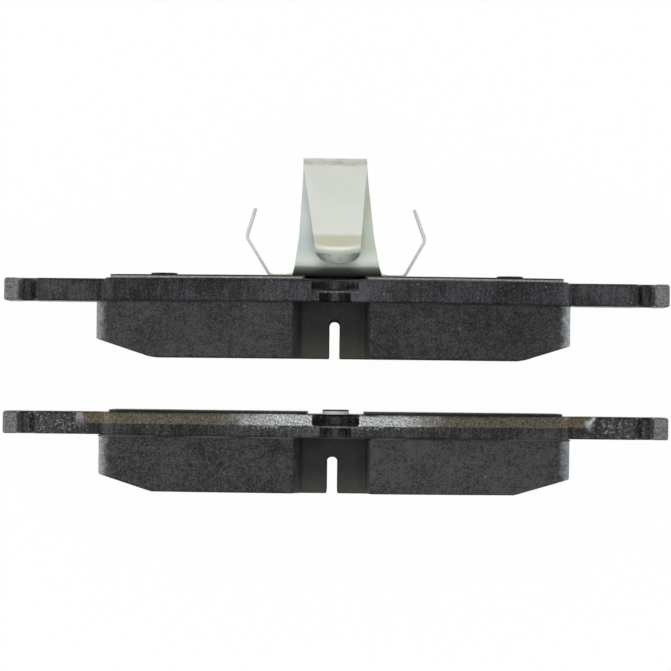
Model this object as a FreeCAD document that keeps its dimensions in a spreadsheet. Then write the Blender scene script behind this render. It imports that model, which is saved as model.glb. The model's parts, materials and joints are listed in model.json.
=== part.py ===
import FreeCAD, Part
import math
import os
import Sketcher

# Disc brake pads for one floating caliper: the inner pad with its piston clip, and the outer pad.
# Both stand on their lower edges on z = 0 with their friction faces towards -Y. X runs along the
# pads, +Y points out of the back faces, +Z points away from the wheel's axis. Millimetres.

SIZES = [
    # backing plate, seen from its back face
    ("overall_length", 156.4, "hammer end to hammer end"),
    ("plate_thickness", 5.3, "pressed steel plate"),
    ("plate_height", 63.6, "foot to the middle of the top edge"),
    ("plate_arc", 145.0, "radius of the curved top edge"),
    ("body_half", 54.1, "half-length of the body between the ears"),
    ("shoulder_round", 3.2, "corner between the top edge and the body's side"),
    ("root_round", 2.0, "inside corner where an ear leaves the body"),
    ("ear_top", 37.5, "upper edge of the ear"),
    ("ear_bottom", 15.5, "lower edge of the ear"),
    ("ear_half", 71.0, "where the ear's slot before the hammer starts"),
    ("ear_round", 1.4, "ear's corner at that slot"),
    ("neck_top", 33.0, "bottom of the upper slot"),
    ("neck_bottom", 20.0, "bottom of the lower slot"),
    ("neck_round", 1.5, "corners at the bottom of a slot"),
    ("hammer_inner", 74.65, "inner side of the hammer"),
    ("hammer_top", 38.0, "top of the hammer"),
    ("hammer_bottom", 15.0, "bottom of the hammer"),
    ("hammer_round", 1.0, "outer corners of the hammer"),
    ("hammer_inner_round", 0.6, "inner corners of the hammer"),
    ("foot_outer", 50.0, "outer end of a foot"),
    ("foot_rise", 6.5, "height where the body's side starts to slope in"),
    ("foot_round", 2.5, "corners of a foot"),
    ("foot_inner", 42.0, "where the lower arch starts"),
    ("arch_rise", 8.0, "height of the lower arch"),
    ("die_roll", 0.7, "rounding left by the press on the back edge"),
    ("edge_break", 0.3, "small bevel on the friction-side edge"),
    # two-step notch for the wear sensor
    ("notch_centre", 60.2, "height of the notch's round bottom centre"),
    ("notch_narrow", 3.65, "radius of the through part"),
    ("notch_wide", 5.45, "radius of the part open to the back"),
    ("notch_wide_depth", 2.8, "depth of the wide part"),
    ("notch_round", 0.8, "inside corner between the wide part's wall and its floor"),
    ("inner_notch_shift", -0.45, "how far the notch sits off the middle, inner pad"),
    ("outer_notch_shift", 0.0, "how far the notch sits off the middle, outer pad"),
    # lining: bonding layer, underlayer and friction block
    ("inner_lining_half", 55.15, "half-length of the friction block, inner pad"),
    ("outer_lining_half", 54.8, "half-length of the friction block, outer pad"),
    ("inner_lining_shift", -0.75, "how far the lining sits off the plate's middle, inner pad"),
    ("outer_lining_shift", -0.3, "how far the lining sits off the plate's middle, outer pad"),
    ("lining_inset", 1.2, "top edge of the lining below the plate's"),
    ("lining_round", 3.5, "upper corners of the lining"),
    ("lining_foot_outer", 49.0, "outer end of the lining's foot"),
    ("lining_foot_inner", 43.0, "where the lining's lower arch starts"),
    ("lining_arch_rise", 9.2, "height of the lining's lower arch"),
    ("lining_foot_rise", 7.0, "height where the lining's side starts to slope in"),
    ("bond_thickness", 0.35, "bonding layer"),
    ("bond_proud", 0.15, "how far the bonding layer squeezes out"),
    ("underlayer_thickness", 1.65, "underlayer"),
    ("block_thickness", 11.0, "friction block"),
    ("recess_floor", 54.0, "height of the floor of the recess at the middle"),
    ("recess_floor_half", 7.4, "half-width of the recess at its floor"),
    ("recess_left_mouth", 9.8, "reach of the recess at the top edge, left of the lining's middle"),
    ("recess_right_mouth", 8.5, "reach of the recess at the top edge, right of it"),
    ("slot_width", 2.4, "slot across the friction face"),
    ("slot_round", 0.9, "corners at the bottom of the slot"),
    ("inner_slot_depth", 8.85, "slot depth of the inner pad"),
    ("outer_slot_depth", 8.45, "slot depth of the outer pad"),
    ("inner_slot_shift", 0.27, "slot off the lining's middle, inner pad"),
    ("outer_slot_shift", -0.4, "slot off the lining's middle, outer pad"),
    ("inner_left_run", 12.5, "length of the end chamfer"),
    ("inner_left_drop", 4.05, "depth of the end chamfer"),
    ("inner_right_run", 10.85, "length of the end chamfer"),
    ("inner_right_drop", 3.4, "depth of the end chamfer"),
    ("outer_left_run", 12.6, "length of the end chamfer"),
    ("outer_left_drop", 3.9, "depth of the end chamfer"),
    ("outer_right_run", 13.0, "length of the end chamfer"),
    ("outer_right_drop", 3.75, "depth of the end chamfer"),
    # noise shims
    ("shim_half", 52.8, "half-length of a shim"),
    ("shim_inset", 2.8, "top edge of the shim below the plate's"),
    ("shim_round", 3.0, "outer corners of a shim"),
    ("shim_foot", 4.0, "lower edge of a shim"),
    ("shim_foot_inner", 43.5, "where the shim's lower arch starts"),
    ("shim_arch_rise", 7.5, "height of the shim's lower arch above its lower edge"),
    ("clearance_half", 7.0, "half-width of the inner shim's clearance under the notch"),
    ("clearance_floor", 38.0, "bottom of that clearance"),
    ("clearance_round", 3.0, "corners at that bottom"),
    ("patch_gap_half", 6.6, "half-width of the gap between the outer shim's two patches"),
    ("patch_round", 2.0, "upper corner of a patch at that gap"),
    ("inner_damping_thickness", 0.45, "pale damping layer, inner pad"),
    ("inner_cover_thickness", 0.35, "dark cover, inner pad"),
    ("outer_damping_thickness", 0.25, "damping layer, outer pad"),
    ("outer_cover_thickness", 0.35, "dark cover, outer pad"),
    # rivets
    ("shank_radius", 1.75, "shank of every rivet"),
    ("shank_clearance", 0.05, "gap round every shank"),
    ("shank_depth", 3.0, "how far a shank goes into the plate"),
    ("hole_depth", 3.1, "depth of the blind holes for them"),
    ("shim_rivet_head", 3.1, "head radius of a shim rivet"),
    ("shim_rivet_rise", 0.5, "head height of a shim rivet"),
    ("shim_rivet_offset", 40.3, "inner pad's shim rivets from the middle"),
    ("shim_rivet_height", 46.0, "height of the shim rivets"),
    ("clip_rivet_head", 2.5, "head radius of a clip rivet"),
    ("clip_rivet_rise", 0.9, "head height of a clip rivet"),
    ("clip_rivet_offset", 6.0, "clip rivets from the middle"),
    ("clip_rivet_height", 31.0, "height of the clip rivets"),
    ("head_round", 0.3, "rounding of the rivet heads"),
    # piston clip, measured from the underside of its base
    ("strip", 0.7, "spring steel thickness"),
    ("clip_half", 11.85, "half-width of the clip's base"),
    ("clip_bottom", 25.0, "lower edge of the clip's base"),
    ("clip_corner", 2.0, "lower corners of the clip's base"),
    ("leaf_plane", 46.0, "height of the back leaf's mid-plane"),
    ("leaf_bend", 2.4, "bend radius between base and back leaf"),
    ("clip_height", 27.55, "top of the tongue's fold"),
    ("fold_radius", 1.9, "fold between back leaf and front leaf"),
    ("leaf_neck_half", 10.6, "half-width where the back leaf starts"),
    ("leaf_low_half", 9.6, "half-width just above the bend"),
    ("leaf_mid_half", 8.7, "half-width at the waist"),
    ("leaf_mid_rise", 7.15, "height of the waist"),
    ("leaf_top_half", 7.35, "half-width at the fold"),
    ("leaf_taper_start", 40.5, "where the base starts to narrow towards the leaf"),
    ("front_lean", 11.5, "front leaf's lean away from the back leaf, degrees"),
    ("front_length", 18.6, "front leaf from fold to knee"),
    ("front_low_half", 5.55, "half-width of the front leaf at its knee"),
    ("lip_lean", 38.0, "lean of the curled lip back to the leaf, degrees"),
    ("lip_length", 5.4, "curled lip below the knee"),
    ("knee_bend", 1.5, "bend radius at the knees"),
    ("arm_reach", 15.8, "bend line of an arm from the middle"),
    ("arm_gap", 0.03, "gap between a turning arm and the base"),
    ("arm_middle", 32.0, "height of the arms' middle"),
    ("arm_width", 8.0, "width of an arm"),
    ("arm_low_lean", 30.5, "outward lean of the lower part, degrees"),
    ("arm_low_length", 10.2, "bend line to knee"),
    ("arm_high_lean", 19.0, "inward lean of the upper part, degrees"),
    ("arm_high_length", 7.3, "knee to tip"),
    ("arm_tip_round", 2.2, "corners of an arm's tip"),
    # the two pads
    ("pad_spacing", 31.3, "back face of one pad to the back face of the other"),
]

DERIVED = [
    ("half_length", "=overall_length / 2"),
    ("arc_centre", "=plate_height - plate_arc"),
    ("lining_arc", "=plate_arc - lining_inset"),
    ("shim_arc", "=plate_arc - shim_inset"),
    ("lining_thickness", "=bond_thickness + underlayer_thickness + block_thickness"),
    ("inner_shim", "=inner_damping_thickness + inner_cover_thickness"),
    ("outer_shim", "=outer_damping_thickness + outer_cover_thickness"),
    ("inner_back",
     "=(pad_spacing + plate_thickness + lining_thickness - inner_shim - clip_height) / 2"),
    ("outer_back", "=inner_back - pad_spacing"),
    ("hole_radius", "=shank_radius + shank_clearance"),
    ("arm_root", "=strip / 2"),
    ("fold_centre", "=clip_height - fold_radius - strip / 2"),
    ("fold_middle", "=leaf_plane + fold_radius"),
]

# Origin planes on which the sketches lie.
FRONT = "XZ_Plane"   # sketch x = X, sketch y = Z, positive depth towards -Y
TOP = "XY_Plane"     # sketch x = X, sketch y = Y, positive depth towards +Z
SIDE = "YZ_Plane"    # sketch x = Y, sketch y = Z, positive depth towards +X

doc = FreeCAD.newDocument("brake_pads")
sizes = doc.addObject("Spreadsheet::Sheet", "sizes")
bodies = []


def fill_sheet():
    row = 1
    for alias, value, note in SIZES:
        sizes.set(f"A{row}", alias)
        sizes.set(f"B{row}", str(value))
        sizes.set(f"C{row}", note)
        sizes.setAlias(f"B{row}", alias)
        row += 1
    for alias, formula in DERIVED:
        sizes.set(f"A{row}", alias)
        sizes.set(f"B{row}", formula)
        sizes.setAlias(f"B{row}", alias)
        row += 1
    doc.recompute()


ALIASES = {entry[0] for entry in SIZES} | {entry[0] for entry in DERIVED}


def bound(text):
    """An expression in sheet names, with each name pointed at the sheet."""
    words = []
    word = ""
    for letter in text + " ":
        if letter.isalnum() or letter in "_.":
            word += letter
            continue
        words.append(f"sizes.{word}" if word in ALIASES else word)
        words.append(letter)
        word = ""
    return "".join(words).strip()


def value(text):
    return float(sizes.evalExpression(bound(text)))


def new_body(label, x="0", y="0", z="0"):
    body = doc.addObject("PartDesign::Body", label)
    body.Label = label
    for axis, place in zip("xyz", (x, y, z)):
        if place != "0":
            body.setExpression(f"Placement.Base.{axis}", bound(place))
    bodies.append(body)
    return body


def new_sketch(body, name, plane, depth="0"):
    sketch = body.newObject("Sketcher::SketchObject", name)
    roles = {feature.Role: feature for feature in body.Origin.OriginFeatures}
    sketch.AttachmentSupport = [(roles[plane], "")]
    sketch.MapMode = "FlatFace"
    if depth != "0":
        sketch.setExpression("AttachmentOffset.Base.z", bound(depth))
    return sketch


def pin(sketch, geometry, end, x, y):
    """Fix one end of a side, or a circle's centre, at two sheet expressions."""
    for kind, text in (("DistanceX", x), ("DistanceY", y)):
        number = sketch.addConstraint(Sketcher.Constraint(kind, -1, 1, geometry, end, value(text)))
        sketch.setExpression(f"Constraints[{number}]", bound(text))


def draw_loop(sketch, corners, arcs=None):
    """Closed outline through the corners. arcs maps a side's number to (radius, turn): the side is
    then the shorter arc, turn 1 anticlockwise and turn -1 clockwise. Several loops may share a sketch."""
    arcs = arcs or {}
    first = sketch.GeometryCount
    points = [FreeCAD.Vector(value(x), value(y), 0) for x, y in corners]
    ends = []
    for side, start in enumerate(points):
        finish = points[(side + 1) % len(points)]
        if side not in arcs:
            sketch.addGeometry(Part.LineSegment(start, finish), False)
            ends.append((1, 2))
            continue
        radius, turn = arcs[side]
        size = value(radius)
        chord = finish - start
        rise = math.sqrt(max(size ** 2 - (chord.Length / 2) ** 2, 0.0))
        left = FreeCAD.Vector(-chord.y, chord.x, 0).normalize()
        centre = (start + finish) * 0.5 + left * (rise * turn)
        opening, closing = (start, finish) if turn > 0 else (finish, start)
        angles = [math.atan2(p.y - centre.y, p.x - centre.x) for p in (opening, closing)]
        circle = Part.Circle(centre, FreeCAD.Vector(0, 0, 1), size)
        sketch.addGeometry(Part.ArcOfCircle(circle, angles[0], angles[1]), False)
        ends.append((1, 2) if turn > 0 else (2, 1))
    for side, (x, y) in enumerate(corners):
        following = (side + 1) % len(corners)
        sketch.addConstraint(Sketcher.Constraint(
            "Coincident", first + side, ends[side][1], first + following, ends[following][0]))
        pin(sketch, first + side, ends[side][0], x, y)
    for side, (radius, turn) in arcs.items():
        number = sketch.addConstraint(Sketcher.Constraint("Radius", first + side, value(radius)))
        sketch.setExpression(f"Constraints[{number}]", bound(radius))


def draw_circle(sketch, x, y, radius):
    first = sketch.GeometryCount
    centre = FreeCAD.Vector(value(x), value(y), 0)
    sketch.addGeometry(Part.Circle(centre, FreeCAD.Vector(0, 0, 1), value(radius)), False)
    pin(sketch, first, 3, x, y)
    number = sketch.addConstraint(Sketcher.Constraint("Radius", first, value(radius)))
    sketch.setExpression(f"Constraints[{number}]", bound(radius))


def pad(body, name, sketch, length, back=False, both=False):
    feature = body.newObject("PartDesign::Pad", name)
    feature.Profile = sketch
    feature.setExpression("Length", bound(length))
    feature.Reversed = back
    if both:
        feature.SideType = "Symmetric"
    sketch.Visibility = False
    doc.recompute()
    return feature


def cut(body, name, sketch, length, back=False, both=False):
    """Remove the sketch's outline and make sure that something was removed."""
    before = body.Tip.Shape.Volume
    feature = body.newObject("PartDesign::Pocket", name)
    feature.Profile = sketch
    feature.setExpression("Length", bound(length))
    feature.Reversed = back
    if both:
        feature.SideType = "Symmetric"
    sketch.Visibility = False
    doc.recompute()
    if not feature.Shape.Volume < before - 0.01:
        raise RuntimeError(f"{body.Label}: {name} removed nothing")
    return feature


def edges_through(feature, places, axis):
    """Names of the straight edges parallel to an axis (0 X, 1 Y, 2 Z) through the given points of
    the plane across it."""
    across = [i for i in range(3) if i != axis]
    names = []
    for number, edge in enumerate(feature.Shape.Edges, 1):
        if len(edge.Vertexes) != 2 or not isinstance(edge.Curve, Part.Line):
            continue
        start, finish = [vertex.Point for vertex in edge.Vertexes]
        if any(abs(start[i] - finish[i]) > 1e-5 for i in across):
            continue
        for place in places:
            if all(abs(start[i] - value(text)) < 1e-3 for i, text in zip(across, place)):
                names.append(f"Edge{number}")
    if len(names) < len(places):
        raise RuntimeError(f"{feature.Label}: {len(names)} edges for {len(places)} corners")
    return names


def outline_edges(feature, depth):
    """Names of the edges round the outside of the flat face at y = depth."""
    faces = [face for face in feature.Shape.Faces
             if abs(face.BoundBox.YMin - depth) < 1e-6 and abs(face.BoundBox.YMax - depth) < 1e-6]
    wanted = [edge for face in faces for edge in face.OuterWire.Edges]
    return [f"Edge{number}" for number, edge in enumerate(feature.Shape.Edges, 1)
            if any(edge.isSame(other) for other in wanted)]


def dress(body, kind, name, base, edges, size):
    """Fillet or chamfer of one size on named edges."""
    feature = body.newObject(f"PartDesign::{kind}", name)
    feature.Base = (base, edges)
    feature.setExpression("Radius" if kind == "Fillet" else "Size", bound(size))
    doc.recompute()
    return feature


def round_corners(body, name, places, size, axis=1):
    return dress(body, "Fillet", name, body.Tip, edges_through(body.Tip, places, axis), size)


def both_sides(x, y):
    return [(x, y), (f"-({x})", y)]


def mirrored(corners):
    """A whole outline, from the corners of its right half listed from top to bottom."""
    return corners + [(f"-({x})", y) for x, y in reversed(corners)]


def drop_on_arc(radius, half):
    """Height of the point on the common arc centre's circle at a distance from the middle."""
    return f"arc_centre + sqrt(({radius})^2 - ({half})^2)"


def arch_radius(half, rise):
    return f"(({half})^2 + ({rise})^2) / (2 * ({rise}))"


def notch_corners(feature, shift):
    """Names of the edges round the floor of the notch's wide part."""
    depth, wide, centre = (value(name) for name in ("notch_wide_depth", "notch_wide", "notch_centre"))
    names = []
    for number, edge in enumerate(feature.Shape.Edges, 1):
        middle = edge.valueAt((edge.FirstParameter + edge.LastParameter) / 2)
        reach = math.hypot(middle.x - value(shift), min(middle.z - centre, 0))
        flat = all(abs(corner.Y + depth) < 1e-6 for corner in edge.Vertexes)
        if flat and abs(reach - wide) < 1e-3:
            names.append(f"Edge{number}")
    return names


def make_plate(label, side, back, holes):
    body = new_body(label, y=back)
    right = [
        ("body_half", drop_on_arc("plate_arc", "body_half")),
        ("body_half", "ear_top"),
        ("ear_half", "ear_top"),
        ("ear_half", "neck_top"),
        ("hammer_inner", "neck_top"),
        ("hammer_inner", "hammer_top"),
        ("half_length", "hammer_top"),
        ("half_length", "hammer_bottom"),
        ("hammer_inner", "hammer_bottom"),
        ("hammer_inner", "neck_bottom"),
        ("ear_half", "neck_bottom"),
        ("ear_half", "ear_bottom"),
        ("body_half", "ear_bottom"),
        ("body_half", "foot_rise"),
        ("foot_outer", "0"),
        ("foot_inner", "0"),
    ]
    outline = new_sketch(body, "plate_outline", FRONT)
    draw_loop(outline, mirrored(right), {
        len(right) - 1: (arch_radius("foot_inner", "arch_rise"), 1),
        2 * len(right) - 1: ("plate_arc", -1),
    })
    pad(body, "plate_blank", outline, "plate_thickness")

    round_corners(body, "shoulders", both_sides(*right[0]), "shoulder_round")
    round_corners(body, "ear_roots", both_sides(*right[1]) + both_sides(*right[12]), "root_round")
    round_corners(body, "ear_corners", both_sides(*right[2]) + both_sides(*right[11]), "ear_round")
    neck = [place for corner in (3, 4, 9, 10) for place in both_sides(*right[corner])]
    round_corners(body, "slot_bottoms", neck, "neck_round")
    round_corners(body, "hammer_inner_corners",
                  both_sides(*right[5]) + both_sides(*right[8]), "hammer_inner_round")
    round_corners(body, "hammer_corners",
                  both_sides(*right[6]) + both_sides(*right[7]), "hammer_round")
    round_corners(body, "feet", both_sides(*right[13]) + both_sides(*right[14]), "foot_round")

    shift = f"{side}_notch_shift"
    for name, radius, depth in (("notch_through", "notch_narrow", "plate_thickness"),
                                ("notch_step", "notch_wide", "notch_wide_depth")):
        notch = new_sketch(body, f"{name}_outline", FRONT)
        draw_loop(notch, [
            (f"{shift} + {radius}", "plate_height + 1"),
            (f"{shift} - {radius}", "plate_height + 1"),
            (f"{shift} - {radius}", "notch_centre"),
            (shift, f"notch_centre - {radius}"),
            (f"{shift} + {radius}", "notch_centre"),
        ], {2: (radius, 1), 3: (radius, 1)})
        cut(body, name, notch, depth, back=True)

    dress(body, "Fillet", "press_rounding", body.Tip, outline_edges(body.Tip, 0.0), "die_roll")
    front = outline_edges(body.Tip, -value("plate_thickness"))
    dress(body, "Chamfer", "front_bevel", body.Tip, front, "edge_break")
    dress(body, "Fillet", "notch_corner", body.Tip, notch_corners(body.Tip, shift), "notch_round")

    drilled = new_sketch(body, "rivet_holes", FRONT)
    for x, z in holes:
        draw_circle(drilled, x, z, "hole_radius")
    cut(body, "rivet_holes_cut", drilled, "hole_depth", back=True)
    return body


def lining_corners(side, proud):
    """Right half of the lining's outline; proud is how far this layer squeezes out."""
    half = f"{side}_lining_half + {proud}"
    arc = f"lining_arc + {proud}"
    return [
        (half, drop_on_arc(arc, half)),
        (half, "lining_foot_rise"),
        (f"lining_foot_outer + {proud}", "0"),
        ("lining_foot_inner", "0"),
    ]


def make_lining_layer(label, side, front_of, thickness, proud="0"):
    """One layer of the lining: curved outline with the recess cut into its top edge."""
    body = new_body(label, x=f"{side}_lining_shift", y=front_of)
    right = lining_corners(side, proud)
    outline = new_sketch(body, "layer_outline", FRONT)
    draw_loop(outline, mirrored(right), {
        len(right) - 1: (arch_radius("lining_foot_inner", "lining_arch_rise"), 1),
        2 * len(right) - 1: (f"lining_arc + {proud}", -1),
    })
    pad(body, "layer", outline, thickness)
    round_corners(body, "upper_corners", both_sides(*right[0]), "lining_round")
    round_corners(body, "feet", both_sides(*right[1]) + both_sides(*right[2]), "foot_round")
    recess = new_sketch(body, "recess_outline", FRONT)
    rise = "(plate_height - recess_floor)"
    left = f"recess_left_mouth + (recess_left_mouth - recess_floor_half) / {rise}"
    right = f"recess_right_mouth + (recess_right_mouth - recess_floor_half) / {rise}"
    draw_loop(recess, [
        (right, "plate_height + 1"),
        (f"-({left})", "plate_height + 1"),
        ("-recess_floor_half", "recess_floor"),
        ("recess_floor_half", "recess_floor"),
    ])
    cut(body, "recess", recess, thickness, back=True)
    return body


def make_friction_block(label, side, front_of):
    """Friction block with the slot across its face and a chamfer at each end."""
    body = make_lining_layer(label, side, front_of, "block_thickness")
    slot = new_sketch(body, "slot_profile", TOP)
    middle = f"{side}_slot_shift"
    floor = f"-block_thickness + {side}_slot_depth"
    draw_loop(slot, [
        (f"{middle} + slot_width / 2", "-block_thickness - 1"),
        (f"{middle} + slot_width / 2", f"{floor} - slot_round"),
        (f"{middle} + slot_width / 2 - slot_round", floor),
        (f"{middle} - slot_width / 2 + slot_round", floor),
        (f"{middle} - slot_width / 2", f"{floor} - slot_round"),
        (f"{middle} - slot_width / 2", "-block_thickness - 1"),
    ], {1: ("slot_round", 1), 3: ("slot_round", 1)})
    cut(body, "slot", slot, "plate_height * 2", both=True)
    half = f"{side}_lining_half"
    for end, way in SIDES:
        run = f"{side}_{end}_run"
        drop = f"{side}_{end}_drop"
        profile = new_sketch(body, f"{end}_chamfer_profile", TOP)
        draw_loop(profile, [
            (f"{way}({half} - {run} * 2)", f"-block_thickness - {drop}"),
            (f"{way}({half} + {run})", f"-block_thickness - {drop}"),
            (f"{way}({half} + {run})", f"-block_thickness + {drop} * 2"),
        ])
        cut(body, f"{end}_chamfer", profile, "plate_height * 2", both=True)
    return body


def make_shim_blank(label, back, thickness):
    """Whole outline of a noise shim's layer, standing on the plane y = back."""
    body = new_body(label, y=back)
    right = [
        ("shim_half", drop_on_arc("shim_arc", "shim_half")),
        ("shim_half", "shim_foot"),
        ("shim_foot_inner", "shim_foot"),
    ]
    outline = new_sketch(body, "shim_outline", FRONT)
    draw_loop(outline, mirrored(right), {
        len(right) - 1: (arch_radius("shim_foot_inner", "shim_arch_rise"), 1),
        2 * len(right) - 1: ("shim_arc", -1),
    })
    pad(body, "shim_blank", outline, thickness, back=True)
    round_corners(body, "shim_corners",
                  both_sides(*right[0]) + both_sides(*right[1]), "shim_round")
    return body


def make_shim_layer(label, back, thickness, holes):
    """Layer of a shim in one piece, with a deep clearance in the middle and rivet holes."""
    body = make_shim_blank(label, back, thickness)
    clearance = new_sketch(body, "clearance_outline", FRONT)
    left = "inner_notch_shift - clearance_half"
    right = "inner_notch_shift + clearance_half"
    draw_loop(clearance, [
        (right, "plate_height"),
        (left, "plate_height"),
        (left, "clearance_floor + clearance_round"),
        (f"{left} + clearance_round", "clearance_floor"),
        (f"{right} - clearance_round", "clearance_floor"),
        (right, "clearance_floor + clearance_round"),
    ], {2: ("clearance_round", 1), 4: ("clearance_round", 1)})
    cut(body, "clearance", clearance, thickness)
    drilled = new_sketch(body, "rivet_holes", FRONT)
    for x, z in holes:
        draw_circle(drilled, x, z, "hole_radius")
    cut(body, "rivet_holes_cut", drilled, thickness)
    return body


def make_shim_patch(label, back, thickness, way):
    """Layer of a shim in two patches: the part on one side of the gap in the middle."""
    body = make_shim_blank(label, back, thickness)
    edge = f"{way}patch_gap_half"
    far_end = f"-({way}(shim_half + 1))"
    rest = new_sketch(body, "rest_outline", FRONT)
    draw_loop(rest, [
        (edge, "plate_height"),
        (far_end, "plate_height"),
        (far_end, "-1"),
        (edge, "-1"),
    ])
    cut(body, "rest", rest, thickness)
    round_corners(body, "gap_corner",
                  [(edge, drop_on_arc("shim_arc", "patch_gap_half"))], "patch_round")
    return body


def make_rivet(label, x, z, seat, head, rise, stack):
    """Rivet turned about its own axis: head on the stack of sheets, shank through it."""
    body = new_body(label, x=x, y=seat, z=z)
    profile = new_sketch(body, "rivet_profile", TOP)
    draw_loop(profile, [
        ("0", rise),
        ("0", f"-({stack}) - shank_depth"),
        ("shank_radius", f"-({stack}) - shank_depth"),
        ("shank_radius", "0"),
        (head, "0"),
        (head, f"{rise} - head_round"),
        (f"{head} - head_round", rise),
    ], {5: ("head_round", 1)})
    turned = body.newObject("PartDesign::Revolution", "rivet")
    turned.Profile = profile
    turned.ReferenceAxis = (profile, ["V_Axis"])
    turned.Angle = 360
    profile.Visibility = False
    doc.recompute()
    return body


def make_clip_base(label, seat, holes):
    """Flat base of the clip with its back leaf bent up along the upper edge."""
    body = new_body(label, y=seat)
    bend_start = "leaf_plane - leaf_bend"
    side = new_sketch(body, "leaf_profile", SIDE)
    draw_loop(side, [
        ("0", "clip_bottom"),
        ("0", bend_start),
        ("strip / 2 + leaf_bend", "leaf_plane + strip / 2"),
        ("fold_centre", "leaf_plane + strip / 2"),
        ("fold_centre", "leaf_plane - strip / 2"),
        ("strip / 2 + leaf_bend", "leaf_plane - strip / 2"),
        ("strip", bend_start),
        ("strip", "clip_bottom"),
    ], {1: ("leaf_bend + strip / 2", -1), 5: ("leaf_bend - strip / 2", 1)})
    pad(body, "base_and_leaf", side, "clip_half * 2", both=True)

    corners = new_sketch(body, "base_taper", FRONT)
    leaf = new_sketch(body, "leaf_taper", TOP)
    for way in ("", "-"):
        draw_loop(corners, [
            (f"{way}(clip_half + 1)", "leaf_taper_start"),
            (f"{way}(clip_half + 1)", "leaf_plane + 1"),
            (f"{way}leaf_neck_half", "leaf_plane + 1"),
            (f"{way}leaf_neck_half", bend_start),
            (f"{way}clip_half", "leaf_taper_start"),
        ])
        draw_loop(leaf, [
            (f"{way}leaf_neck_half", "strip"),
            (f"{way}leaf_low_half", "strip / 2 + leaf_bend"),
            (f"{way}leaf_mid_half", "leaf_mid_rise"),
            (f"{way}leaf_top_half", "fold_centre"),
            (f"{way}leaf_top_half", "fold_centre + 1"),
            (f"{way}(clip_half + 1)", "fold_centre + 1"),
            (f"{way}(clip_half + 1)", "strip"),
        ])
    cut(body, "base_taper_cut", corners, "clip_height")
    cut(body, "leaf_taper_cut", leaf, "plate_height * 2", both=True)

    wings = new_sketch(body, "wing_outline", FRONT)
    edge = "arm_reach - strip / 2 - arm_gap"
    draw_loop(wings, [
        (edge, "arm_middle - arm_width / 2"),
        (edge, "arm_middle + arm_width / 2"),
        (f"-({edge})", "arm_middle + arm_width / 2"),
        (f"-({edge})", "arm_middle - arm_width / 2"),
    ])
    pad(body, "wings", wings, "strip", back=True)
    round_corners(body, "base_corners", both_sides("clip_half", "clip_bottom"), "clip_corner")
    drilled = new_sketch(body, "rivet_holes", FRONT)
    for x, z in holes:
        draw_circle(drilled, x, z, "hole_radius")
    cut(body, "rivet_holes_cut", drilled, "strip")
    return body


def make_clip_arm(label, seat, way):
    """Side arm of the clip, out from its bend line to the knee and back in to the tip."""
    body = new_body(label, y=seat)
    low_x = "arm_low_length * sin(arm_low_lean * 1deg)"
    low_y = "arm_low_length * cos(arm_low_lean * 1deg)"
    knee_x = f"arm_reach + {low_x}"
    knee_y = f"arm_root + {low_y}"
    tip_x = f"{knee_x} - arm_high_length * sin(arm_high_lean * 1deg)"
    tip_y = f"{knee_y} + arm_high_length * cos(arm_high_lean * 1deg)"
    low_dx = "strip / 2 * cos(arm_low_lean * 1deg)"
    low_dy = "strip / 2 * sin(arm_low_lean * 1deg)"
    high_dx = "strip / 2 * cos(arm_high_lean * 1deg)"
    high_dy = "strip / 2 * sin(arm_high_lean * 1deg)"
    mitre = "(1 + cos((arm_low_lean + arm_high_lean) * 1deg))"
    knee_dx = f"({low_dx} + {high_dx}) / {mitre}"
    knee_dy = f"({high_dy} - {low_dy}) / {mitre}"
    outer_knee = (f"{way}({knee_x} + {knee_dx})", f"{knee_y} + {knee_dy}")
    inner_knee = (f"{way}({knee_x} - {knee_dx})", f"{knee_y} - {knee_dy}")
    profile = new_sketch(body, "arm_profile", TOP, depth="arm_middle - arm_width / 2")
    draw_loop(profile, [
        (f"{way}(arm_reach + {low_dx})", f"arm_root - {low_dy}"),
        outer_knee,
        (f"{way}({tip_x} + {high_dx})", f"{tip_y} + {high_dy}"),
        (f"{way}({tip_x} - {high_dx})", f"{tip_y} - {high_dy}"),
        inner_knee,
        (f"{way}(arm_reach - {low_dx})", f"arm_root + {low_dy}"),
    ])
    pad(body, "arm", profile, "arm_width")
    round_corners(body, "knee_outside", [outer_knee], "knee_bend + strip / 2", axis=2)
    round_corners(body, "knee_inside", [inner_knee], "knee_bend - strip / 2", axis=2)
    tips = [f"Edge{number}" for number, edge in enumerate(body.Tip.Shape.Edges, 1)
            if abs(edge.Length - value("strip")) < 1e-4
            and edge.CenterOfMass.y > value(f"{tip_y} - strip")]
    dress(body, "Fillet", "tip_corners", body.Tip, tips, "arm_tip_round")
    return body


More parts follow.
